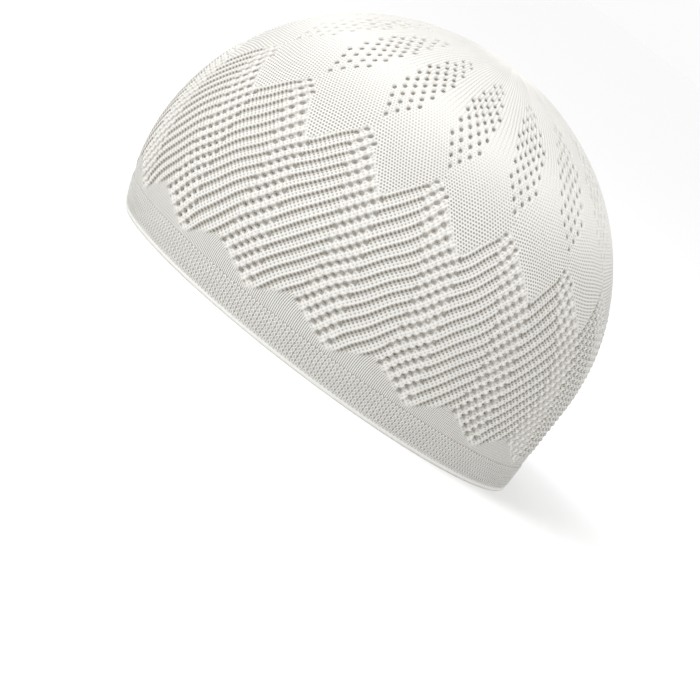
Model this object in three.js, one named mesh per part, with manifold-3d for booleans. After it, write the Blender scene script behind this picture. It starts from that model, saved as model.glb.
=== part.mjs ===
// A machine-knitted skull cap (kufi): one seamless dome in sixteen wedges over a thicker folded band.
// Millimetres, +Z up. The rim rests on z = 0, the front faces -Y and the wearer's left is +X.

import * as THREE from "three";
import { mergeVertices } from "three/addons/utils/BufferGeometryUtils.js";
import Module from "manifold-3d";

// Overall form
const LENGTH = 204; // front to back, at the widest level
const WIDTH = 172; // side to side, at the widest level
const HEIGHT = 139; // rim to crown centre
const BULGE_HEIGHT = 41; // level of the widest section
const RIM_LENGTH = 194; // front to back, at the rim
const RIM_WIDTH = 163.4; // side to side, at the rim
const RIM_SETBACK = 5; // how far the rim sits behind the widest section

// Walls
const CROWN_WALL = 2.2; // one layer of lace knit
const BAND_WALL = 3; // the folded double layer
const BAND_HEIGHT = 12.5;
const BAND_PROUD = 0.4; // how far the band stands out beyond the crown's skin
const SEAT_GAP = 0.3; // clearance between the crown's lower edge and the band

// Stitch rows of the band
const BAND_ROWS = 7;
const BAND_ROW_DEPTH = 0.3; // groove between two rows
const BAND_FOLD_RADIUS = 0.8; // rounding where the band folds under

// Knit pattern of the crown
const WEDGES = 16;
const FIRST_PANEL = 0.156; // wedges from the front line round to the middle of the first panel
const PANEL_DEPTH = 0.7; // how far an eyelet panel or ladder sinks below the petals
const PETAL_RISE = 0.8; // how far the middle of a petal stands out
const RIBS_PER_WEDGE = 7; // slanting ribs below the petals
const RIB_DEPTH = 0.8; // rib crest to the groove beside it
const RIB_LEAN = 1.6; // wedges that a rib crosses on its way down
const FAN_RISE = 0.4; // how far the plain fans above the band stand out
const EYELET_DIAMETER = 2.4;
const EYELETS_PER_PANEL = 4;

// Fineness of the faceted surfaces
const PETAL_COLUMNS_PER_WEDGE = 8;
const PETAL_ROWS = 9;
const COLUMNS_PER_RIB = 2;
const RIB_ROWS = 8;
const LINING_COLUMNS = 48;
const LINING_ROWS = 8;
const BAND_COLUMNS = 48;
const EYELET_SIDES = 5;

// Half width of an eyelet panel. down: share of the crown's wall from its centre to its lower edge;
// half: share of a wedge.
const PANEL_SHAPE = [
  { down: 0.16, half: 0.0 },
  { down: 0.22, half: 0.27 },
  { down: 0.33, half: 0.31 },
  { down: 0.42, half: 0.31 },
  { down: 0.51, half: 0.0 },
];

// Middle line of an openwork ladder. across: share of a wedge, from the middle of its panel.
const LADDER_LINE = [
  { down: 0.53, across: 0.0 },
  { down: 0.65, across: 0.55 },
  { down: 0.74, across: 0.53 },
  { down: 0.83, across: 0.5 },
  { down: 0.91, across: 0.69 },
  { down: 0.97, across: 1.0 },
];
const LADDER_HALF_WIDTH = 0.15; // share of a wedge

// Lower edge of the petals: a row of points that hang from the foot of one panel to the next.
const PETAL_EDGE = [
  { across: 0.0, down: 0.545 },
  { across: 0.55, down: 0.655 },
  { across: 1.0, down: 0.545 },
];

// Upper edge of the plain fans above the band.
const FAN_EDGE = [
  { across: 0.0, down: 0.99 },
  { across: 0.45, down: 0.93 },
  { across: 1.0, down: 0.99 },
];

// Value of a named column at x, straight between the rows of a short table and zero past its ends.
function tableAt(table, key, value, x) {
  for (let i = 1; i < table.length; i++) {
    const [from, to] = [table[i - 1], table[i]];
    if (x >= from[key] && x <= to[key]) {
      const part = (x - from[key]) / (to[key] - from[key]);
      return from[value] + part * (to[value] - from[value]);
    }
  }
  return 0;
}

// Outline of the cap

// Half length, half width and centre of the level section at height z.
function sectionAt(z) {
  if (z >= BULGE_HEIGHT) {
    const rise = Math.min((z - BULGE_HEIGHT) / (HEIGHT - BULGE_HEIGHT), 1);
    const spread = Math.sqrt(1 - rise * rise);
    return { a: (LENGTH / 2) * spread, b: (WIDTH / 2) * spread, centre: 0 };
  }
  const drop = ((BULGE_HEIGHT - z) / BULGE_HEIGHT) ** 2;
  return {
    a: LENGTH / 2 - ((LENGTH - RIM_LENGTH) / 2) * drop,
    b: WIDTH / 2 - ((WIDTH - RIM_WIDTH) / 2) * drop,
    centre: RIM_SETBACK * drop,
  };
}

// Heights at even steps of wall length, from the crown centre to the crown's lower edge.
function wallHeights(steps) {
  const lowest = BAND_HEIGHT + SEAT_GAP;
  const samples = 600;
  const levels = [{ z: HEIGHT, run: 0 }];
  for (let i = 1; i <= samples; i++) {
    const turn = (i / samples) * (Math.PI / 2);
    addLevel(levels, BULGE_HEIGHT + (HEIGHT - BULGE_HEIGHT) * Math.cos(turn));
  }
  for (let i = 1; i <= samples; i++) {
    addLevel(levels, BULGE_HEIGHT + (lowest - BULGE_HEIGHT) * (i / samples));
  }
  const total = levels[levels.length - 1].run;
  const heights = [];
  for (let i = 0; i <= steps; i++) {
    const run = Math.min((i / steps) * total, total * (1 - 1e-12));
    heights.push(i === steps ? lowest : tableAt(levels, "run", "z", run));
  }
  return heights;
}

// Adds a level to the list with the length of wall down to it.
function addLevel(levels, z) {
  const last = levels[levels.length - 1];
  const [above, here] = [sectionAt(last.z), sectionAt(z)];
  const spread = (here.a + here.b - above.a - above.b) / 2;
  levels.push({ z, run: last.run + Math.hypot(spread, z - last.z) });
}

const WALL_STEPS = 240;
const WALL_HEIGHTS = wallHeights(WALL_STEPS);

// Height of the wall at a share of its length below the crown centre.
function heightAt(down) {
  const place = Math.min(Math.max(down, 0), 1) * WALL_STEPS;
  const i = Math.min(Math.floor(place), WALL_STEPS - 1);
  return WALL_HEIGHTS[i] + (place - i) * (WALL_HEIGHTS[i + 1] - WALL_HEIGHTS[i]);
}

// Point of the smooth outer skin. turn runs from 0 at the front to 1, by the wearer's left.
function skinAt(turn, z) {
  const section = sectionAt(z);
  const angle = turn * 2 * Math.PI;
  return new THREE.Vector3(
    section.b * Math.sin(angle),
    section.centre - section.a * Math.cos(angle),
    z,
  );
}

// Outward normal of the smooth skin.
function normalAt(turn, down) {
  if (down < 0.004) return new THREE.Vector3(0, 0, 1);
  const step = 0.002;
  const across = skinAt(turn + step, heightAt(down)).sub(skinAt(turn - step, heightAt(down)));
  const along = skinAt(turn, heightAt(down + step)).sub(skinAt(turn, heightAt(down - step)));
  return along.cross(across).normalize();
}

// Point at a height above (+) or under (-) the smooth skin.
function wallAt(turn, down, offset) {
  return skinAt(turn, heightAt(down)).addScaledVector(normalAt(turn, down), offset);
}

// Relief of the knit

// 1 well inside an edge and 0 well outside, with a slope of the given width between.
function soft(distance, slope) {
  return THREE.MathUtils.smoothstep(distance, -slope / 2, slope / 2);
}

// Share of a wedge at a turn, from the middle of the panel before it.
function acrossAt(turn) {
  const wedge = turn * WEDGES - FIRST_PANEL;
  return wedge - Math.floor(wedge);
}

// Turn by which the slanting ribs have moved toward the front at a share of the wall.
function leanAt(down) {
  const ribTop = PETAL_EDGE[0].down;
  return (-Math.max(down - ribTop, 0) / (1 - ribTop)) * (RIB_LEAN / WEDGES);
}

// How far the crown's outer face stands above (+) or below (-) the smooth skin.
function reliefAt(turn, down) {
  const across = acrossAt(turn);
  const belowPetal = soft(down - tableAt(PETAL_EDGE, "across", "down", across), 0.03);
  const inFan = soft(down - tableAt(FAN_EDGE, "across", "down", across), 0.03);
  const ribbed = belowPetal * (1 - inFan);
  return (
    (1 - belowPetal) * petalAt(across, down) +
    ribbed * ribAt(turn, down) -
    ribbed * ladderAt(across, down) * PANEL_DEPTH +
    inFan * FAN_RISE
  );
}

// Relief of the petals and of the sunken eyelet panels between them.
function petalAt(across, down) {
  const fromPanel = Math.min(across, 1 - across);
  const started = soft(down - PANEL_SHAPE[0].down, 0.1);
  const inPanel = soft(tableAt(PANEL_SHAPE, "down", "half", down) - fromPanel, 0.1);
  const crowning = Math.sin(Math.PI * across) * PETAL_RISE;
  return started * ((1 - inPanel) * crowning - inPanel * PANEL_DEPTH);
}

// Relief of the slanting ribs.
function ribAt(turn, down) {
  const ribs = WEDGES * RIBS_PER_WEDGE;
  return (RIB_DEPTH / 2) * Math.cos(2 * Math.PI * ribs * (turn - leanAt(down)));
}

// 1 on a ladder and 0 off it.
function ladderAt(across, down) {
  if (down < LADDER_LINE[0].down || down > LADDER_LINE[LADDER_LINE.length - 1].down) return 0;
  const line = tableAt(LADDER_LINE, "down", "across", down);
  const away = Math.min(Math.abs(across - line), Math.abs(across - line + 1));
  return soft(LADDER_HALF_WIDTH - away, 0.1);
}

// Meshes

// A closed mesh built ring by ring.
class RingMesh {
  positions = [];
  faces = [];

  // Adds a ring of points and returns their numbers.
  ring(count, pointAt) {
    const numbers = [];
    for (let i = 0; i < count; i++) numbers.push(this.point(pointAt(i / count)));
    return numbers;
  }

  point(p) {
    this.positions.push(p.x, p.y, p.z);
    return this.positions.length / 3 - 1;
  }

  // Joins two rings that may differ in count, walking both by their share of the turn.
  join(upper, lower) {
    let i = 0;
    let j = 0;
    while (i < upper.length || j < lower.length) {
      const [u, l] = [upper[i % upper.length], lower[j % lower.length]];
      const upperNext = (i + 1) / upper.length;
      const lowerNext = (j + 1) / lower.length;
      if (j < lower.length && lowerNext <= upperNext + 1e-9) {
        this.faces.push(u, l, lower[(j + 1) % lower.length]);
        j++;
      } else {
        this.faces.push(u, l, upper[(i + 1) % upper.length]);
        i++;
      }
    }
  }

  // Closes a ring to one point above or below it.
  cap(centre, ring, facesUp) {
    ring.forEach((here, i) => {
      const next = ring[(i + 1) % ring.length];
      this.faces.push(...(facesUp ? [centre, here, next] : [centre, next, here]));
    });
  }

  geometry() {
    const made = new THREE.BufferGeometry();
    made.setAttribute("position", new THREE.Float32BufferAttribute(this.positions, 3));
    made.setIndex(this.faces);
    return made;
  }
}

// Rows of the outer skin from the crown centre down, with fewer columns near it. Below the petals
// the columns lean with the ribs, so that each crest and each groove is one column.
function skinRows() {
  const rows = [];
  const ribTop = PETAL_EDGE[0].down;
  for (let i = 1; i <= PETAL_ROWS; i++) {
    const fewer = i === 1 ? 4 : i === 2 ? 2 : 1;
    rows.push({
      down: (i / PETAL_ROWS) * ribTop,
      columns: Math.round((WEDGES * PETAL_COLUMNS_PER_WEDGE) / fewer),
    });
  }
  for (let i = 1; i <= RIB_ROWS; i++) {
    rows.push({
      down: ribTop + (i / RIB_ROWS) * (1 - ribTop),
      columns: Math.round(WEDGES * RIBS_PER_WEDGE) * COLUMNS_PER_RIB,
    });
  }
  return rows;
}

// Point of the crown's outer face.
function faceAt(turn, down) {
  const leaning = turn + leanAt(down);
  const wrapped = leaning - Math.floor(leaning);
  return wallAt(wrapped, down, reliefAt(wrapped, down));
}

// The dome: relief outside, plain inside, open at the bottom.
function crownShell() {
  const shell = new RingMesh();
  const pole = shell.point(wallAt(0, 0, 0));
  const rings = skinRows().map(({ down, columns }) =>
    shell.ring(columns, (turn) => faceAt(turn, down)),
  );
  for (let row = LINING_ROWS; row >= 1; row--) {
    const down = row / LINING_ROWS;
    rings.push(shell.ring(LINING_COLUMNS, (turn) => liningAt(turn + leanAt(1), down)));
  }
  shell.cap(pole, rings[0], true);
  for (let i = 1; i < rings.length; i++) shell.join(rings[i - 1], rings[i]);
  shell.cap(shell.point(wallAt(0, 0, -CROWN_WALL)), rings[rings.length - 1], false);
  return shell.geometry();
}

// Inner face of the dome, whose lowest ring lies level with the outer lower edge.
function liningAt(turn, down) {
  const point = wallAt(turn, down, -CROWN_WALL);
  if (down === 1) point.z = BAND_HEIGHT + SEAT_GAP;
  return point;
}

// Point beside the smooth skin, in the level plane at height z.
function besideSkin(turn, z, outward) {
  const section = sectionAt(z);
  const angle = turn * 2 * Math.PI;
  const away = new THREE.Vector3(Math.sin(angle) / section.b, -Math.cos(angle) / section.a, 0);
  return skinAt(turn, z).addScaledVector(away.normalize(), outward);
}

// Outline of the band's wall, as heights and distances out from the skin, from the top inner edge.
function bandOutline() {
  const inner = BAND_PROUD - BAND_WALL;
  const outline = [
    { z: BAND_HEIGHT, out: inner },
    { z: BAND_HEIGHT, out: BAND_PROUD - BAND_ROW_DEPTH },
  ];
  const rowHeight = (BAND_HEIGHT - BAND_FOLD_RADIUS) / BAND_ROWS;
  for (let row = 0; row < BAND_ROWS; row++) {
    const top = BAND_HEIGHT - row * rowHeight;
    outline.push({ z: top - rowHeight / 2, out: BAND_PROUD });
    if (row < BAND_ROWS - 1) {
      outline.push({ z: top - rowHeight, out: BAND_PROUD - BAND_ROW_DEPTH });
    }
  }
  outline.push({ z: BAND_FOLD_RADIUS * 0.6, out: BAND_PROUD });
  outline.push({ z: 0, out: BAND_PROUD - BAND_FOLD_RADIUS });
  outline.push({ z: 0, out: inner + BAND_FOLD_RADIUS });
  outline.push({ z: BAND_FOLD_RADIUS, out: inner });
  return outline;
}

// The band: a ring whose wall follows the outline all the way round.
function bandRing() {
  const band = new RingMesh();
  const rings = bandOutline().map(({ z, out }) =>
    band.ring(BAND_COLUMNS, (turn) => besideSkin(turn, z, out)),
  );
  rings.forEach((ring, i) => band.join(ring, rings[(i + 1) % rings.length]));
  return band.geometry();
}

// Eyelets of the panels

const wasm = await Module();
wasm.setup();

function solidOf(geometry) {
  const bare = geometry.clone();
  bare.deleteAttribute("normal");
  bare.deleteAttribute("uv");
  const merged = mergeVertices(bare, 1e-4);
  return new wasm.Manifold(
    new wasm.Mesh({
      numProp: 3,
      vertProperties: merged.attributes.position.array,
      triVerts: new Uint32Array(merged.index.array),
    }),
  );
}

function geometryOf(solid) {
  const mesh = solid.getMesh();
  const made = new THREE.BufferGeometry();
  made.setAttribute("position", new THREE.BufferAttribute(mesh.vertProperties, 3));
  made.setIndex(new THREE.BufferAttribute(mesh.triVerts, 1));
  return made;
}

// A pin straight through the wall at one eyelet.
function eyeletPin(turn, down) {
  const reach = CROWN_WALL + PANEL_DEPTH + PETAL_RISE + 2 * SEAT_GAP;
  const pin = new THREE.CylinderGeometry(
    EYELET_DIAMETER / 2, EYELET_DIAMETER / 2, 2 * reach, EYELET_SIDES,
  );
  const outward = normalAt(turn, down);
  const place = wallAt(turn, down, -CROWN_WALL / 2);
  const turned = new THREE.Quaternion().setFromUnitVectors(new THREE.Vector3(0, 1, 0), outward);
  pin.applyQuaternion(turned).translate(place.x, place.y, place.z);
  return pin;
}

// Cuts a row of eyelets through the wall down the middle of each panel.
function cutPanels(shell) {
  const pins = [];
  const [first, last] = [PANEL_SHAPE[0].down, PANEL_SHAPE[PANEL_SHAPE.length - 1].down];
  for (let wedge = 0; wedge < WEDGES; wedge++) {
    for (let i = 1; i <= EYELETS_PER_PANEL; i++) {
      const down = first + (i / (EYELETS_PER_PANEL + 1)) * (last - first);
      pins.push(solidOf(eyeletPin((wedge + FIRST_PANEL) / WEDGES, down)));
    }
  }
  return geometryOf(solidOf(shell).subtract(wasm.Manifold.union(pins)));
}

// Assembly

const yarn = { roughness: 0.9, metalness: 0 };

const crown = new THREE.Mesh(
  cutPanels(crownShell()),
  new THREE.MeshStandardMaterial({ color: 0xece9e2, ...yarn }),
);
crown.name = "crown";

const band = new THREE.Mesh(
  bandRing(),
  new THREE.MeshStandardMaterial({ color: 0xe6e3db, ...yarn }),
);
band.name = "band";

const kufi = new THREE.Group();
kufi.name = "kufi";
kufi.add(crown, band);

export default kufi;
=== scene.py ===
"""An off-white machine-knitted skull cap (kufi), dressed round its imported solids.

The knit is one height field over the dome: s is the length of wall from the crown centre in
millimetres, and a turn runs from 0 at the front to 1, by the wearer's left. Eyelets are cut
through the mesh. Stitches finer than about a millimetre are bump.
"""

import math

import bpy
import numpy as np
from mathutils import Matrix, Vector


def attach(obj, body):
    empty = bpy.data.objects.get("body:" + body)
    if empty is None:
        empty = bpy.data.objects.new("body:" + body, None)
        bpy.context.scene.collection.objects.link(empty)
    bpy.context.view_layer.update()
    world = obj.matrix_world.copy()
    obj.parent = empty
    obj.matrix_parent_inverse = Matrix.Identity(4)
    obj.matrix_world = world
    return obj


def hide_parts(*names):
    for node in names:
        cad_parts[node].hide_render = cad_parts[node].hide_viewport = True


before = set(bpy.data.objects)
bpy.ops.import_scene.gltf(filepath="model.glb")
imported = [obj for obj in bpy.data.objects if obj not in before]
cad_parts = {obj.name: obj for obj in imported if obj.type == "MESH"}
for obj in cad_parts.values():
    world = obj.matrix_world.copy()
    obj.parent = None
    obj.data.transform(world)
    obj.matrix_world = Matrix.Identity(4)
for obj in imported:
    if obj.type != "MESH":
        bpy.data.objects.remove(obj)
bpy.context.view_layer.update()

MM = 0.001

# Overall form, millimetres, as in the part
LENGTH = 204.0
WIDTH = 172.0
HEIGHT = 139.0
BULGE_HEIGHT = 41.0
RIM_LENGTH = 194.0
RIM_WIDTH = 163.4
RIM_SETBACK = 5.0
BAND_WALL = 3.0
BAND_HEIGHT = 12.5
BAND_PROUD = 0.4

# Knit plan
WEDGES = 16
FIRST_PANEL = 0.156  # wedges from the front line round to the middle of the first panel
RIBS_PER_WEDGE = 7
JUNCTION = 98.0  # s where a panel ends and its ladder begins

# Eyelet panels between the petals: (s, half width in mm)
PANEL_HALF = (
    (35.0, 0.8), (39.0, 2.8), (43.0, 4.4), (48.0, 5.2), (54.0, 6.6),
    (68.0, 7.8), (74.0, 8.6), (79.0, 9.6), (83.0, 7.6), (87.0, 5.2), (92.0, 2.6), (97.0, 0.6),
)
PANEL_PITCH = 4.3
PANEL_ROW = 2.9
PANEL_ROW_GROWTH = 0.085  # mm for the square of the rows below the eighth
PANEL_TOP = 36.5
PANEL_SHIFT = 1.0  # toward the front
PANEL_ROWS = 18
PANEL_EYELET = (0.72, 0.95)  # half width and half height
PANEL_EYELET_SIZE = ((34.0, 0.72), (60.0, 1.0))  # (s, factor)

# Lower edge of the petals and upper edge of the plain fans: (share of a wedge, s)
PETAL_FOOT = ((0.0, 97.5), (0.55, 117.5), (1.0, 97.5))
FAN_HEAD = ((0.0, 178.0), (0.45, 168.5), (1.0, 178.0))

# Slanting ribs: a row of holes runs along each, one hole to a course
COURSE = 2.62
RIB_LEAN = 0.342  # ribs that a row of holes moves toward the front in one course
LADDER_EDGES = (
    (96.0, -0.16, 0.16),
    (104.0, -0.10, 0.32),
    (109.0, -0.04, 0.42),
    (114.0, 0.04, 0.52),
    (120.0, 0.15, 0.62),
    (128.0, 0.29, 0.70),
    (140.0, 0.43, 0.80),
    (150.0, 0.50, 0.88),
    (160.0, 0.54, 0.96),
    (170.0, 0.54, 1.04),
    (180.0, 0.60, 1.07),
)
LADDER_EYELET = (1.24, 0.90)  # half width and half height
LADDER_EYELET_SIZE = ((100.0, 0.72), (118.0, 0.86), (145.0, 0.98))
LADDER_CLIMB = 0.42  # mm up for each mm into a ladder, beside the petals
LADDER_CLIMB_REACH = 9.5
ZONE_BLEND = (1.5, 1.2)  # half widths of the change from petals to ribs and from ribs to fans

# Relief in the ribs: (place in a rib, width as a share of a rib, height in mm)
CORD = (0.77, 0.13, 0.52)
BACK_CORD = (0.62, 0.13, 0.50)
KNOBS = (0.42, 0.10, 0.36)
TROUGH = (0.04, 0.13, -0.20)

# Relief elsewhere, millimetres
PETAL_SWELL = 0.5
PLEAT_HEIGHT = 0.40
FAN_HEIGHT = 0.15
RIB_EDGE = 1.05  # how far the wall sinks at the edge of an eyelet of the ladders
PETAL_EDGE = 0.70
EDGE_REACH = 0.28
LINING_DEPTH = 1.35

# Shadow between the cords, 0 to 1, at the top and bottom of the ribs
VALLEY_SHADE = (0.42, 0.62)
FLANK_SHADE = (0.14, 0.22)

# Fine stitches
PIT_ROWS = ((0.843, 0.271), (-0.1205, -0.753))  # cycles to a mm, sideways and down the wall
CREST_WALES = 14  # to a wedge
FAN_WALES = 720  # round the cap
FAN_BEND = 2.6e-5  # turns for each square mm above the band
FAN_RUNG = 1.05

# Band
BAND_LOOPS = 320
BAND_ROW = 1.76
BAND_PLAIN = 1.9  # height of the plain lower edge
BAND_EDGE = 0.9  # rounding of the band's edges
BAND_RISE = 0.2  # how far its upper edge reaches behind the crown
LOOP_SHIFT = 0.13  # loops that each row moves aside
LOOP_RIDGES = (0.20, 0.08)  # mm, along a row and at each loop

# Grids. The rows under JUNCTION slant with the ribs, so that every hole and cord is cut alike
RIB_COLUMNS = WEDGES * RIBS_PER_WEDGE * 10
RIB_ROWS = 6  # to a course
CENTRE_PIECE_END = 33.0  # s where the outer face is split into its centre and its sides
CENTRE_STEP = 0.6
CENTRE_END = 20.0
UPPER_END = 48.0
PETAL_STEP = 0.62
LINING_COLUMNS = RIB_COLUMNS // 2
LINING_ROWS = 3  # to a course
LINING_STEP = 1.4
LINING_CENTRE_END = 33.0
LINING_FINE_END = 178.0
BAND_COLUMNS = 4 * BAND_LOOPS
FAR = 50.0  # from any eyelet


# Form of the dome


def wall_table():
    """Levels from the crown centre (0) by the bulge (1) to the rim (2), and the wall length to each."""
    level = np.linspace(0.0, 2.0, 4001)
    a, b, _, z = level_section(level)
    run = np.hypot(np.diff((a + b) / 2), np.diff(z))
    return level, np.concatenate([[0.0], np.cumsum(run)])


def level_section(level):
    """Half length, half width, centre and height of the section at a level."""
    quarter = np.clip(level, 0, 1) * math.pi / 2
    drop = np.clip(level - 1, 0, 1)
    spread = np.sin(quarter)
    a = (LENGTH / 2 - (LENGTH - RIM_LENGTH) / 2 * drop**2) * spread
    b = (WIDTH / 2 - (WIDTH - RIM_WIDTH) / 2 * drop**2) * spread
    dome = BULGE_HEIGHT + (HEIGHT - BULGE_HEIGHT) * np.cos(quarter)
    return a, b, RIM_SETBACK * drop**2, np.where(level < 1, dome, BULGE_HEIGHT * (1 - drop))


LEVELS, RUNS = wall_table()
CROWN_END = float(np.interp(2 - (BAND_HEIGHT + 0.1) / BULGE_HEIGHT, LEVELS, RUNS))


def skin(turn, s):
    """Points of the smooth outer skin."""
    a, b, centre, z = level_section(np.interp(s, RUNS, LEVELS))
    angle = turn * 2 * math.pi
    return np.stack([b * np.sin(angle), centre - a * np.cos(angle), z], -1)


def settled(turn, s):
    """Where a stitch comes to lie: knit is never quite even."""
    angle = turn * 2 * math.pi
    fade = soft(s - 22, 8) * soft(CROWN_END - 7 - s, 6)
    along = 0.30 * np.sin(7 * angle + s / 9) + 0.22 * np.sin(s / 4.3 - 17 * angle)
    down = 0.34 * np.sin(9 * angle + s / 7) + 0.22 * np.sin(23 * angle - s / 5)
    return turn + fade * along / (math.pi * LENGTH), s + fade * down


def skin_normal(turn, s):
    """Outward normals of the smooth skin."""
    inside = np.clip(s, 0.3, RUNS[-1] - 0.3)
    around = skin(turn + 1e-4, inside) - skin(turn - 1e-4, inside)
    down = skin(turn, inside + 0.2) - skin(turn, inside - 0.2)
    normal = np.cross(down, around)
    return normal / np.linalg.norm(normal, axis=-1, keepdims=True)


def wedge_width(turn, s):
    """Width of a wedge in millimetres."""
    a, b, _, _ = level_section(np.interp(s, RUNS, LEVELS))
    angle = turn * 2 * math.pi
    return 2 * math.pi / WEDGES * np.hypot(a * np.sin(angle), b * np.cos(angle))


# Small tools for the knit


def soft(x, half):
    """0 below -half, 1 above +half and smooth between."""
    t = np.clip((x + half) / (2 * half), 0, 1)
    return t * t * (3 - 2 * t)


def bump(x, width):
    return np.exp(-((x / width) ** 2))


def wrapped(x):
    """Distance to the nearest whole number, signed."""
    return x - np.round(x)


def between(table, x, column=1):
    rows = np.array(table)
    return np.interp(x, rows[:, 0], rows[:, column])


def ellipse(dx, dy, rx, ry):
    """Distance to an ellipse's edge in millimetres, near enough: negative inside."""
    return (np.hypot(dx / rx, dy / ry) - 1) * np.minimum(rx, ry)


# The knit


def wedge_place(turn):
    return turn * WEDGES - FIRST_PANEL


def rib_zone(share, s):
    """1 in the ribs under the petals and above the fans."""
    under_petals = soft(s - between(PETAL_FOOT, share), ZONE_BLEND[0])
    return under_petals * soft(between(FAN_HEAD, share) - s, ZONE_BLEND[1])


def ladder(share, s):
    """1 in the openwork ladders and 0 in the close ribs."""
    left = between(LADDER_EDGES, s, 1)
    right = between(LADDER_EDGES, s, 2)
    inside = 0.0
    for lap in (-1, 0, 1):
        x = share + lap
        inside = np.maximum(inside, soft(x - left, 0.03) * soft(right - x, 0.03))
    return inside


PANEL_STEPS = np.arange(PANEL_ROWS)
PANEL_GROWTH = PANEL_ROW_GROWTH * np.clip(PANEL_STEPS - 7, 0, None) ** 2
PANEL_LEVELS = PANEL_TOP + PANEL_ROW * PANEL_STEPS + PANEL_GROWTH


def panel_eyelets(turn, s):
    """Distance to the nearest eyelet of a panel."""
    x = wrapped(wedge_place(turn)) * wedge_width(turn, s) + PANEL_SHIFT
    row = np.interp(s, PANEL_LEVELS, PANEL_STEPS)
    best = np.full(x.shape, FAR)
    for j in (np.floor(row), np.ceil(row)):
        offset = 0.5 * (j % 2)
        xc = (np.round(x / PANEL_PITCH - offset) + offset) * PANEL_PITCH
        sc = PANEL_LEVELS[j.astype(int)]
        live = np.abs(xc) <= between(PANEL_HALF, sc)
        size = between(PANEL_EYELET_SIZE, sc)
        away = ellipse(x - xc, s - sc, PANEL_EYELET[0] * size, PANEL_EYELET[1] * size)
        best = np.where(live, np.minimum(best, away), best)
    return best


def ladder_lift(turn, s):
    """How far, in millimetres, the ladders climb beside the petals."""
    share = wedge_place(turn) % 1.0
    share = np.where(share > 0.6, share - 1, share)
    into = (share - between(LADDER_EDGES, s, 1)) * wedge_width(turn, s)
    return LADDER_CLIMB * np.clip(into, 0, LADDER_CLIMB_REACH) * soft(112 - s, 12)


def rib_place(turn, s):
    """Rib number and course number: a row of holes lies on each whole rib."""
    course = (s + ladder_lift(turn, s) - JUNCTION) / COURSE
    return wedge_place(turn) * RIBS_PER_WEDGE + RIB_LEAN * course, course


def rib_eyelets(turn, s):
    """Distance to the nearest hole of the ladders, one on each course."""
    rib, course = rib_place(turn, s)
    cells = wedge_place(turn) * RIBS_PER_WEDGE
    cell_mm = wedge_width(turn, s) / RIBS_PER_WEDGE
    best = np.full(cells.shape, FAR)
    for q in (np.floor(course), np.ceil(course)):
        centre = np.round(cells + RIB_LEAN * q) - RIB_LEAN * q
        share = (centre / RIBS_PER_WEDGE) % 1.0
        turn_c = (centre / RIBS_PER_WEDGE + FIRST_PANEL) / WEDGES
        sc = JUNCTION + q * COURSE
        sc = sc - ladder_lift(turn_c, sc - ladder_lift(turn_c, sc))
        open_work = ladder(share, sc)
        live = (sc > between(PETAL_FOOT, share) - 0.5) & (sc < between(FAN_HEAD, share) - 1.2)
        size = between(LADDER_EYELET_SIZE, sc) * (0.55 + 0.45 * open_work)
        aside, down = (cells - centre) * cell_mm, (course - q) * COURSE
        away = ellipse(aside, down, LADDER_EYELET[0] * size, LADDER_EYELET[1] * size)
        best = np.where(live & (open_work > 0.25), np.minimum(best, away), best)
    return best


def eyelets(turn, s):
    return np.minimum(panel_eyelets(turn, s), rib_eyelets(turn, s))


def line_at(place, line):
    """Height of a cord, a row of knobs or a trough along the ribs."""
    middle, width, height = line
    return height * bump(wrapped(place - middle), width)


def rib_relief(turn, s):
    """Cords, knobs and troughs of the slanting ribs."""
    rib, course = rib_place(turn, s)
    back = back_share(turn)
    cord = line_at(rib, CORD) * (1 - 0.75 * back)
    back_cord = line_at(rib - course, BACK_CORD) * back
    knobs = line_at(rib, KNOBS) * (1 - 0.35 * np.cos(4 * math.pi * (course - 0.37)))
    trough = line_at(rib, TROUGH) * (1 - ladder(wedge_place(turn) % 1.0, s))
    return cord + back_cord + knobs + trough


def back_share(turn):
    """1 at the back, where the cords slant the other way."""
    return soft(0.17 - np.abs(wrapped(turn - 0.5)), 0.03)


def petal_relief(turn, s):
    """Gentle swell of the petals, and the pleats that gather them at the crown centre."""
    share = np.abs(wrapped(wedge_place(turn)))
    arch = np.sin(math.pi * share)
    pleats = PLEAT_HEIGHT * arch * soft(s - 6, 4) * soft(40 - s, 14)
    return PETAL_SWELL * arch * soft(s - 40, 15) + pleats


def zones(turn, s):
    """How far a place lies in the petals, in the ribs and in the fans."""
    share = wedge_place(turn) % 1.0
    petals = 1 - soft(s - between(PETAL_FOOT, share), ZONE_BLEND[0])
    fans = soft(s - between(FAN_HEAD, share), ZONE_BLEND[1])
    return petals, rib_zone(share, s), fans


def relief(turn, s):
    """Height of the knit above the smooth skin."""
    petals, ribs, fans = zones(turn, s)
    height = ribs * rib_relief(turn, s) + fans * FAN_HEIGHT + petals * petal_relief(turn, s)
    away = eyelets(turn, s)
    collar = bump(away - 0.70, 0.40) * (0.16 * petals + 0.08 * ribs)
    sunk = RIB_EDGE + (PETAL_EDGE - RIB_EDGE) * petals
    edge = sunk * np.exp(-np.clip(away, -0.2, None) / EDGE_REACH)
    return height + collar - edge


def shade(turn, s, height):
    """How far the yarn lies in the shadow of its neighbours, 0 to 1."""
    away = np.clip(eyelets(turn, s), 0, None)
    rib, _ = rib_place(turn, s)
    share = wedge_place(turn) % 1.0
    valley = np.interp(s, (110, 175), VALLEY_SHADE) * bump(wrapped(rib - 0.04), 0.21)
    valley = valley * (1 - 0.85 * ladder(share, s))
    flank = np.interp(s, (110, 175), FLANK_SHADE) * bump(wrapped(rib - 0.91), 0.08)
    hollow = np.clip(-0.15 - height, 0, 1) * 0.20 + 0.22 * np.exp(-away / 0.26)
    return hollow + rib_zone(share, s) * (valley + flank)


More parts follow.
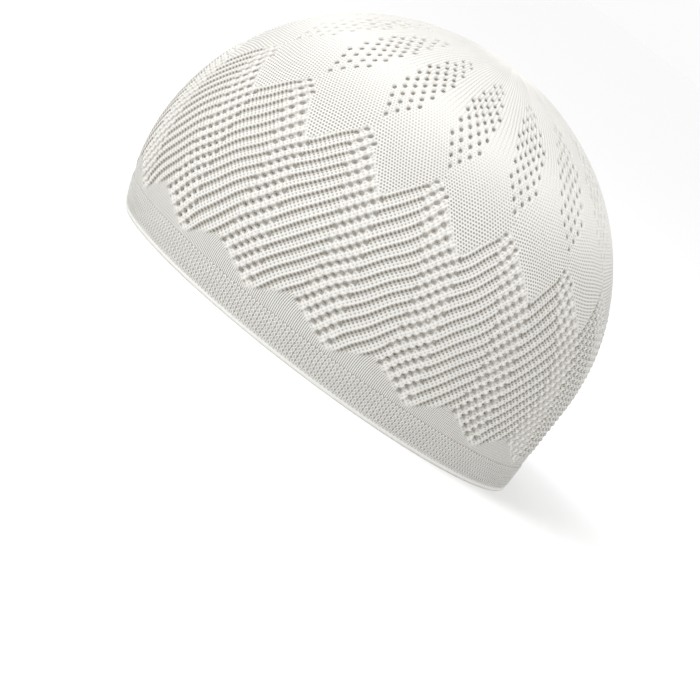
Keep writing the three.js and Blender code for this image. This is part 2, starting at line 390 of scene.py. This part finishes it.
def stitch(turn, s, wedge):
    """Phases of the petals' fine stitches and their strength. wedge is the number of the wedge."""
    x = (wedge_place(turn) - wedge - 0.5) * wedge_width(turn, s)
    petals, _, _ = zones(turn, s)
    clear = soft(eyelets(turn, s) - 0.5, 0.3)
    strength = petals * (0.14 * soft(s - 36, 10) + 0.86 * soft(s - 86, 21)) * clear
    phases = [aside * x + down * s for aside, down in PIT_ROWS]
    return np.stack([*phases, strength], -1)


def beads(turn, s):
    """Rib and course numbers and the strength of the beads between the cords."""
    rib, course = rib_place(turn, s)
    _, ribs, _ = zones(turn, s)
    close = 1 - 0.4 * ladder(wedge_place(turn) % 1.0, s)
    clear = soft(eyelets(turn, s) - 0.15, 0.15) * close
    return np.stack([rib, course, ribs * clear], -1)


def wales(turn, s):
    """Phase and strength of the fine lines round the crown centre and on the fans, and place along them.

    The fans' lines leave the band at a right angle and bend over to the ribs.
    """
    petals, _, fans = zones(turn, s)
    crest = 0.32 * petals * soft(66 - s, 14) * soft(s - 16, 9)
    bend = FAN_BEND * np.clip(CROWN_END - s, 0, None) ** 2
    on_fans = fans > 0.02
    phase = np.where(on_fans, (turn - bend) * FAN_WALES, turn * WEDGES * CREST_WALES)
    rung = np.where(on_fans, s / FAN_RUNG, 0.25)
    return np.stack([phase, np.maximum(crest, fans), rung], -1)


# Meshes


def ring_grid(rows, columns, first=0):
    """Two triangles for each cell of a grid that closes on itself sideways."""
    index = first + np.arange(rows * columns).reshape(rows, columns)
    index = np.concatenate([index, index[:, :1]], 1)
    a, b = index[:-1, :-1].ravel(), index[:-1, 1:].ravel()
    c, d = index[1:, 1:].ravel(), index[1:, :-1].ravel()
    return np.concatenate([np.stack([a, d, c], -1), np.stack([a, c, b], -1)])


def ring_points(rows, columns):
    """(turn, s) of a grid. Its rows under JUNCTION move sideways with the ribs."""
    turn, s = np.meshgrid(np.arange(columns) / columns, rows)
    lean = RIB_LEAN * np.clip(s - JUNCTION, 0, None) / COURSE / (WEDGES * RIBS_PER_WEDGE)
    return np.stack([((turn - lean) % 1.0).ravel(), s.ravel()], -1)


def doubling_strip(coarse, fine, columns):
    """Faces between a coarse row and one of twice as many columns below it."""
    i = np.arange(columns)
    a, b = coarse + i, coarse + (i + 1) % columns
    c, d, e = fine + 2 * i, fine + 2 * i + 1, fine + (2 * i + 2) % (2 * columns)
    return np.concatenate([np.stack([a, c, d], -1), np.stack([a, d, b], -1), np.stack([b, d, e], -1)])


def unwrapped(turns):
    """Turns of the corners of faces, made to run on across the front line."""
    top = turns.max(1, keepdims=True)
    return np.where(top - turns > 0.5, turns + 1, turns)


def cut_holes(points, faces, away):
    """Cuts the faces where away is negative. points are (turn, s) rows."""
    flags = away[faces] > 0
    count = flags.sum(1)
    kept = [faces[count == 3]]
    cases = []
    for number in (1, 2):
        some = faces[count == number]
        odd = flags[count == number] == (number == 1)
        first = np.argmax(odd, 1)
        rows = np.arange(len(some))
        cases.append([some[rows, (first + k) % 3] for k in range(3)])
    pairs = [np.stack([case[0], case[k]], -1) for case in cases for k in (1, 2)]
    sizes = np.cumsum([len(pair) for pair in pairs])[:-1]
    pairs = np.sort(np.concatenate(pairs), 1)
    keys, numbers = np.unique(pairs[:, 0] * len(points) + pairs[:, 1], return_inverse=True)
    low, high = keys // len(points), keys % len(points)
    part = away[low] / (away[low] - away[high])
    ends = unwrapped(np.stack([points[low, 0], points[high, 0]], -1))
    turn = (ends[:, 0] * (1 - part) + ends[:, 1] * part) % 1.0
    s = points[low, 1] * (1 - part) + points[high, 1] * part
    one_a, one_b, two_a, two_b = np.split(numbers.ravel() + len(points), sizes)
    kept.append(np.stack([cases[0][0], one_a, one_b], -1))
    kept.append(np.stack([two_a, cases[1][1], cases[1][2]], -1))
    kept.append(np.stack([two_a, cases[1][2], two_b], -1))
    return np.concatenate([points, np.stack([turn, s], -1)]), np.concatenate(kept)


def vertex_normals(points, faces):
    a, b, c = points[faces[:, 0]], points[faces[:, 1]], points[faces[:, 2]]
    face = np.cross(b - a, c - a)
    normals = np.zeros_like(points)
    for corner in range(3):
        for axis in range(3):
            normals[:, axis] += np.bincount(faces[:, corner], face[:, axis], len(points))
    return normals / np.maximum(np.linalg.norm(normals, axis=1, keepdims=True), 1e-12)


def make_piece(name, points, faces, normals, attributes, material, node):
    """A Blender mesh of the faces. Each attribute has a row for every corner of every face."""
    used, flat = np.unique(faces.ravel(), return_inverse=True)
    mesh = bpy.data.meshes.new(name)
    mesh.vertices.add(len(used))
    mesh.vertices.foreach_set("co", (points[used] * MM).ravel().astype(np.float32))
    mesh.loops.add(len(flat))
    mesh.loops.foreach_set("vertex_index", flat.astype(np.int32))
    mesh.polygons.add(len(faces))
    mesh.polygons.foreach_set("loop_start", np.arange(0, len(flat), 3, dtype=np.int32))
    mesh.update(calc_edges=True)
    mesh.polygons.foreach_set("use_smooth", np.ones(len(faces), bool))
    mesh.normals_split_custom_set_from_vertices(normals[used])
    for key, values in attributes.items():
        kind, field = ("FLOAT_VECTOR", "vector") if values.ndim == 2 else ("FLOAT", "value")
        attribute = mesh.attributes.new(key, kind, "CORNER")
        attribute.data.foreach_set(field, values.ravel().astype(np.float32))
    mesh.materials.append(material)
    piece = bpy.data.objects.new(name, mesh)
    bpy.context.scene.collection.objects.link(piece)
    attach(piece, "root")
    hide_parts(node)
    return piece


# Yarn


class Recipe:
    """Builds a material's nodes from sums."""

    def __init__(self, name):
        self.material = bpy.data.materials.new(name)
        self.material.use_nodes = True
        self.nodes = self.material.node_tree.nodes
        self.links = self.material.node_tree.links
        self.shader = self.nodes["Principled BSDF"]

    def feed(self, socket, value):
        if isinstance(value, (int, float)):
            socket.default_value = value
        else:
            self.links.new(value, socket)

    def math(self, kind, *values):
        node = self.nodes.new("ShaderNodeMath")
        node.operation = kind
        for socket, value in zip(node.inputs, values):
            self.feed(socket, value)
        return node.outputs[0]

    def add(self, *values):
        total = values[0]
        for value in values[1:]:
            total = self.math("ADD", total, value)
        return total

    def times(self, *values):
        product = values[0]
        for value in values[1:]:
            product = self.math("MULTIPLY", product, value)
        return product

    def wave(self, phase):
        return self.math("COSINE", self.times(phase, 2 * math.pi))

    def ramp(self, value, low, high):
        """0 at low and 1 at high, smooth between."""
        node = self.nodes.new("ShaderNodeMapRange")
        node.interpolation_type = "SMOOTHSTEP"
        for socket, each in zip(node.inputs, (value, low, high)):
            self.feed(socket, each)
        return node.outputs[0]

    def row(self, value, centre, half):
        """1 along a line at centre and 0 beyond half to each side."""
        return self.ramp(self.math("ABSOLUTE", self.add(value, -centre)), half, 0.3 * half)

    def offset(self, value):
        """Signed distance from the nearest whole number."""
        return self.math("SUBTRACT", self.math("FRACT", self.math("ADD", value, 0.5)), 0.5)

    def attribute(self, name):
        node = self.nodes.new("ShaderNodeAttribute")
        node.attribute_name = name
        parts = self.nodes.new("ShaderNodeSeparateXYZ")
        self.links.new(node.outputs["Vector"], parts.inputs[0])
        return list(parts.outputs) + [node.outputs["Fac"]]

    def finish(self, yarn, height, depth, painted_shade, passing):
        """Yarn mixed toward the shade colour by the painted shade it is given, with height in units of
        depth, and lets light through.
        """
        colour = self.nodes.new("ShaderNodeMix")
        colour.data_type = "RGBA"
        sockets = [socket for socket in colour.inputs if socket.type == "RGBA"]
        sockets[0].default_value = (*yarn, 1)
        sockets[1].default_value = (*YARN_SHADE, 1)
        self.feed(colour.inputs["Factor"], self.math("MINIMUM", painted_shade, 1.0))
        tint = [socket for socket in colour.outputs if socket.type == "RGBA"][0]
        surface = self.nodes.new("ShaderNodeBump")
        surface.inputs["Strength"].default_value = 1.0
        surface.inputs["Distance"].default_value = depth
        self.feed(surface.inputs["Height"], height)
        through = self.nodes.new("ShaderNodeBsdfTranslucent")
        both = self.nodes.new("ShaderNodeMixShader")
        both.inputs[0].default_value = passing
        self.feed(through.inputs["Color"], tint)
        self.feed(self.shader.inputs["Base Color"], tint)
        self.feed(self.shader.inputs["Normal"], surface.outputs["Normal"])
        self.shader.inputs["Roughness"].default_value = 0.8
        self.shader.inputs["Specular IOR Level"].default_value = 0.25
        self.shader.inputs["Sheen Weight"].default_value = 0.2
        self.links.new(self.shader.outputs[0], both.inputs[1])
        self.links.new(through.outputs[0], both.inputs[2])
        self.links.new(both.outputs[0], self.nodes["Material Output"].inputs[0])
        return self.material


YARN = (0.92, 0.908, 0.875)
# The band's yarn is painted lighter than the crown's: painted light that makes up for the weaker light
# falling on the band's wall
BAND_YARN_PAINTED_LIGHTER = (0.965, 0.955, 0.925)
YARN_SHADE = (0.31, 0.285, 0.235)
# Rows of dots between the cords: dips in the bump, darkened with painted shade
DEEP_DOTS = (-0.01, 0.15)  # place and half width across a rib
SECOND_DOTS = (0.28, 0.11)
THIRD_DOTS = (0.56, 0.11)
FLANK_DOTS = (-0.16, 0.10)
CROWN_PITS = 0.00038  # depth in metres
BAND_PITS = 0.0006
OUTER_PASSING = 0.22
INNER_PASSING = 0.6


def crown_material(name, passing):
    """Petal stitches as a lattice of pits, dots between the cords, and fine wales, each a dip in the
    bump that is also darkened with painted shade.
    """
    r = Recipe(name)
    a, b, strength, _ = r.attribute("stitch")
    slanted = r.times(r.wave(r.add(a, b)), 0.95)
    lattice = r.add(r.times(r.wave(a), 0.8), r.times(r.wave(b), 1.25), slanted)
    pits = r.times(r.ramp(lattice, -0.4, 2.2), strength)
    rib, course, bead_strength, _ = r.attribute("beads")
    across = r.add(r.math("FRACT", r.add(rib, 0.3)), -0.3)
    wave = r.wave(r.times(r.add(course, r.times(across, -0.875)), 2.0))
    turns = r.add(0.95, r.times(r.wave(course), 0.2))
    deep = r.times(r.ramp(wave, -0.4, 0.7), r.row(across, *DEEP_DOTS), turns)
    second = r.times(r.ramp(wave, -0.2, 0.8), r.row(across, *SECOND_DOTS), 0.85)
    third = r.times(r.ramp(wave, -0.1, 0.9), r.row(across, *THIRD_DOTS), 0.65)
    flank = r.times(r.ramp(wave, 0.1, 0.9), r.row(across, *FLANK_DOTS), 0.4)
    dots = r.times(r.add(deep, second, third, flank), bead_strength)
    phase, wale_strength, rung, _ = r.attribute("wales")
    rungs = r.add(r.times(r.wave(rung), -0.3), 1.0)
    lines = r.times(r.ramp(r.math("ABSOLUTE", r.offset(phase)), 0.27, 0.05), wale_strength, rungs)
    shade_level = r.attribute("shade")[3]
    height = r.times(r.add(pits, r.times(dots, 1.2), lines), -1.0)
    # Painted shade: the pits, dots and wale lines darken the yarn, on top of the painted shade in the
    # shade attribute
    painted_shade = r.add(r.times(pits, 0.80), r.times(dots, 0.80), r.times(lines, 0.80), shade_level)
    return r.finish(YARN, height, CROWN_PITS, painted_shade, passing)


def band_material():
    """Small arches in rows, with the deepest gaps between their shoulders, dipped in the bump and
    darkened with painted shade.
    """
    r = Recipe("band_yarn")
    along, row, strength, _ = r.attribute("loops")
    x = r.math("ABSOLUTE", r.offset(along))
    y = r.add(r.math("FRACT", row), -0.5)
    up = r.times(r.math("MINIMUM", y, 0.0), 0.86)
    reach = r.math("SQRT", r.add(r.times(x, x), r.times(up, up)))
    shoulders = r.ramp(reach, 0.38, 0.52)
    fade = r.ramp(y, 0.46, 0.22)
    hollow = r.times(r.ramp(reach, 0.26, 0.08), 0.6, fade)
    gaps = r.times(r.math("MAXIMUM", shoulders, hollow), strength)
    shade_level = r.attribute("shade")[3]
    # Painted shade in the gaps between the loops and in the hollows of the arches
    painted_shade = r.add(r.times(gaps, 0.80), shade_level)
    # Painted light: the band's yarn colour is lighter than the crown's
    return r.finish(BAND_YARN_PAINTED_LIGHTER, r.times(gaps, -1.0), BAND_PITS, painted_shade, OUTER_PASSING)


crown_yarn = crown_material("crown_yarn", OUTER_PASSING)
lining_yarn = crown_material("crown_inner_yarn", INNER_PASSING)
band_yarn = band_material()


def dome_grid(rings):
    """(turn, s) points and faces of a dome of ring grids, each with twice the columns of the one above.

    rings are (rows of s, columns).
    """
    columns = rings[0][1]
    i = np.arange(columns)
    points = [np.zeros((1, 2))]
    faces = [np.stack([np.zeros_like(i), 1 + i, 1 + (i + 1) % columns], -1)]
    start = 1
    for rows, columns in rings:
        if start > 1:
            faces.append(doubling_strip(start - columns // 2, start, columns // 2))
        points.append(ring_points(rows, columns))
        faces.append(ring_grid(len(rows), columns, start))
        start += len(rows) * columns
    return np.concatenate(points), np.concatenate(faces)


def crown_mesh():
    """(turn, s) points and faces of the crown's outer face, with its eyelets cut."""
    centre = np.arange(CENTRE_STEP, CENTRE_END, CENTRE_STEP)
    upper = np.arange(CENTRE_END, UPPER_END, CENTRE_STEP)
    petals = np.arange(UPPER_END, JUNCTION - 0.3, PETAL_STEP)
    ribs = np.append(np.arange(JUNCTION, CROWN_END - 0.1, COURSE / RIB_ROWS), CROWN_END)
    rings = [
        (centre, RIB_COLUMNS // 4),
        (upper, RIB_COLUMNS // 2),
        (np.concatenate([petals, ribs]), RIB_COLUMNS),
    ]
    points, faces = dome_grid(rings)
    return cut_holes(points, faces, eyelets(points[:, 0], points[:, 1]))


def corner_stitches(turn, s, faces):
    """Phases and strengths of the fine stitches at every corner of the faces."""
    t = unwrapped(turn[faces])
    wedge = np.repeat(np.floor(wedge_place(t.mean(1))), 3)
    t, d = t.ravel(), s[faces].ravel()
    return {"stitch": stitch(t, d, wedge), "beads": beads(t, d), "wales": wales(t, d)}


CROWN_PIECES = (
    "crown_centre", "crown_front_left", "crown_back_left", "crown_back_right", "crown_front_right",
)


def crown_skin():
    """Outer face of the crown: the centre and four sides."""
    flat, faces = crown_mesh()
    turn, s = flat.T
    height = relief(turn, s) * soft(s - 1, 1)
    place = settled(turn, s)
    points = skin(*place) + skin_normal(*place) * height[:, None]
    normals = vertex_normals(points, faces)
    corners = corner_stitches(turn, s, faces)
    corners["shade"] = shade(turn, s, height)[faces].ravel()
    quarter = (unwrapped(turn[faces]).mean(1) * 4).astype(int) % 4
    part = np.where(s[faces].mean(1) < CENTRE_PIECE_END, 0, 1 + quarter)
    for number, name in enumerate(CROWN_PIECES):
        chosen = part == number
        each = {key: values[np.repeat(chosen, 3)] for key, values in corners.items()}
        make_piece(name, points, faces[chosen], normals, each, crown_yarn, "crown")


def lining_eyelets(turn, s):
    """The eyelets that are wide enough to show from inside."""
    return np.minimum(panel_eyelets(turn, s) + 0.08, rib_eyelets(turn, s) + 0.32)


def crown_lining():
    """Inner face of the crown, with a hole behind each eyelet."""
    centre = np.arange(LINING_STEP, LINING_CENTRE_END, LINING_STEP)
    petals = np.arange(LINING_CENTRE_END, JUNCTION - 0.5, LINING_STEP)
    ribs = np.arange(JUNCTION, LINING_FINE_END, COURSE / LINING_ROWS)
    fans = np.linspace(LINING_FINE_END, CROWN_END, 10)
    rings = [(centre, LINING_COLUMNS // 2), (np.concatenate([petals, ribs, fans]), LINING_COLUMNS)]
    flat, faces = dome_grid(rings)
    flat, faces = cut_holes(flat, faces[:, ::-1], lining_eyelets(flat[:, 0], flat[:, 1]))
    turn, s = flat.T
    place = settled(turn, s)
    points = skin(*place) - skin_normal(*place) * LINING_DEPTH
    corners = corner_stitches(turn, s, faces)
    corners["shade"] = np.zeros(faces.size)
    normals = vertex_normals(points, faces)
    make_piece("crown_inside", points, faces, normals, corners, lining_yarn, "crown")


def band_profile():
    """Closed outline of the band's wall: height, distance out from the skin, strength of the loops."""
    outer = np.linspace(BAND_HEIGHT, BAND_EDGE, 22)
    inner = np.linspace(BAND_EDGE, BAND_HEIGHT, 7)
    rounding = np.linspace(0, math.pi / 2, 4)[1:]
    inset = BAND_PROUD - BAND_WALL
    profile = [(z, BAND_PROUD, float(soft(z - BAND_PLAIN, 0.4))) for z in outer]
    for t in rounding:
        profile.append((BAND_EDGE * (1 - math.sin(t)), BAND_PROUD - BAND_EDGE * (1 - math.cos(t)), 0.0))
    for t in rounding[:-1]:
        profile.append((BAND_EDGE * (1 - math.cos(t)), inset + BAND_EDGE * (1 - math.sin(t)), 0.0))
    profile += [(z, inset, 0.6) for z in inner]
    for out in (inset + BAND_EDGE, BAND_PROUD - BAND_EDGE):
        profile.append((BAND_HEIGHT + BAND_RISE, out, 0.0))
    return np.array(profile + profile[:1])


def loop_place(turn, z):
    """Loop number and row number on the band, each row a little to the side of the one above."""
    row = (BAND_HEIGHT - z) / BAND_ROW
    angle = turn * 2 * math.pi
    uneven = 0.07 * np.sin(19 * angle + 1.1 * row) + 0.05 * np.sin(37 * angle - 0.8 * row)
    return turn * BAND_LOOPS + LOOP_SHIFT * row + uneven, row + 0.6 * uneven


def band_ring():
    """The folded band, closed all round its wall."""
    profile = band_profile()
    columns = np.arange(BAND_COLUMNS) / BAND_COLUMNS
    order, turn = np.meshgrid(np.arange(len(profile)), columns, indexing="ij")
    z, out, strength = profile[order.ravel()].T
    turn = turn.ravel()
    loop, row = loop_place(turn, z)
    ridge = LOOP_RIDGES[0] * np.cos(2 * math.pi * (row - 0.45))
    ridge = ridge + LOOP_RIDGES[1] * np.cos(2 * math.pi * loop)
    out = out + np.where(out == BAND_PROUD, strength * (ridge - 0.05), 0)
    a, b, centre, _ = level_section(2 - z / BULGE_HEIGHT)
    angle = turn * 2 * math.pi
    beside = np.stack([np.sin(angle) / b, -np.cos(angle) / a], -1)
    beside /= np.linalg.norm(beside, axis=-1, keepdims=True)
    x, y = b * np.sin(angle), centre - a * np.cos(angle)
    points = np.stack([x + beside[:, 0] * out, y + beside[:, 1] * out, z], -1)
    faces = ring_grid(len(profile), BAND_COLUMNS)
    normals = vertex_normals(points, faces)
    t = unwrapped(turn[faces]).ravel()
    corner_z, corner_strength = z[faces].ravel(), strength[faces].ravel()
    loops = np.stack([*loop_place(t, corner_z), corner_strength], -1)
    corners = {"loops": loops, "shade": np.zeros(len(t))}
    make_piece("band_knit", points, faces, normals, corners, band_yarn, "band")


crown_skin()
crown_lining()
band_ring()


# Stage

CAMERA_ELEVATION = 6.35  # degrees
CAMERA_ROLL = 37.35
CAMERA_DISTANCE = 1.2
CAMERA_TARGET = 0.060  # height of the point that it is turned about
CAMERA_ASIDE = 0.01815  # how far the picture's middle lies to the left of that point
CAMERA_BELOW = 0.05256
CAMERA_LENS = 150.7


def plain_material(name, colour, roughness):
    material = bpy.data.materials.new(name)
    material.use_nodes = True
    shader = material.node_tree.nodes["Principled BSDF"]
    shader.inputs["Base Color"].default_value = (*colour, 1)
    shader.inputs["Roughness"].default_value = roughness
    return material


def add_floor():
    bpy.ops.mesh.primitive_plane_add(size=30)
    floor = bpy.context.object
    floor.name = "floor"
    floor.data.materials.append(plain_material("floor_white", (0.985, 0.985, 0.985), 1.0))


def add_area(name, place, size, power):
    light = bpy.data.lights.new(name, "AREA")
    light.shape = "DISK"
    light.size = size
    light.energy = power
    lamp = bpy.data.objects.new(name, light)
    lamp.location = place
    lamp.rotation_euler = (Vector((0, 0, 0.06)) - Vector(place)).to_track_quat("-Z", "Y").to_euler()
    bpy.context.scene.collection.objects.link(lamp)


def add_world(strength):
    world = bpy.data.worlds.new("studio")
    world.use_nodes = True
    background = world.node_tree.nodes["Background"]
    background.inputs["Color"].default_value = (1, 1, 1, 1)
    background.inputs["Strength"].default_value = strength
    bpy.context.scene.world = world


def add_camera():
    """Looks from the wearer's left, rolled so that the cap tips as in the photograph."""
    elevation = math.radians(CAMERA_ELEVATION)
    roll = math.radians(CAMERA_ROLL)
    back = Vector((math.cos(elevation), 0, math.sin(elevation)))
    right = Vector((0, 1, 0))
    up = back.cross(right)
    across = right * math.cos(roll) + up * math.sin(roll)
    upward = up * math.cos(roll) - right * math.sin(roll)
    middle = Vector((0, 0, CAMERA_TARGET))
    place = middle + back * CAMERA_DISTANCE
    aim = middle - across * CAMERA_ASIDE - upward * CAMERA_BELOW
    back = (place - aim).normalized()
    across = (across - back * across.dot(back)).normalized()
    upward = back.cross(across)
    camera = bpy.data.cameras.new("camera")
    camera.lens = CAMERA_LENS
    camera.sensor_width = 36
    camera.clip_end = 100
    holder = bpy.data.objects.new("camera", camera)
    facing = Matrix((across, upward, back)).transposed().to_4x4()
    holder.matrix_world = Matrix.Translation(place) @ facing
    bpy.context.scene.collection.objects.link(holder)
    bpy.context.scene.camera = holder


add_floor()
add_world(0.97)
add_area("key", (0.65, -0.95, 1.25), 1.0, 13)
add_camera()
bpy.context.scene.view_settings.view_transform = "Standard"
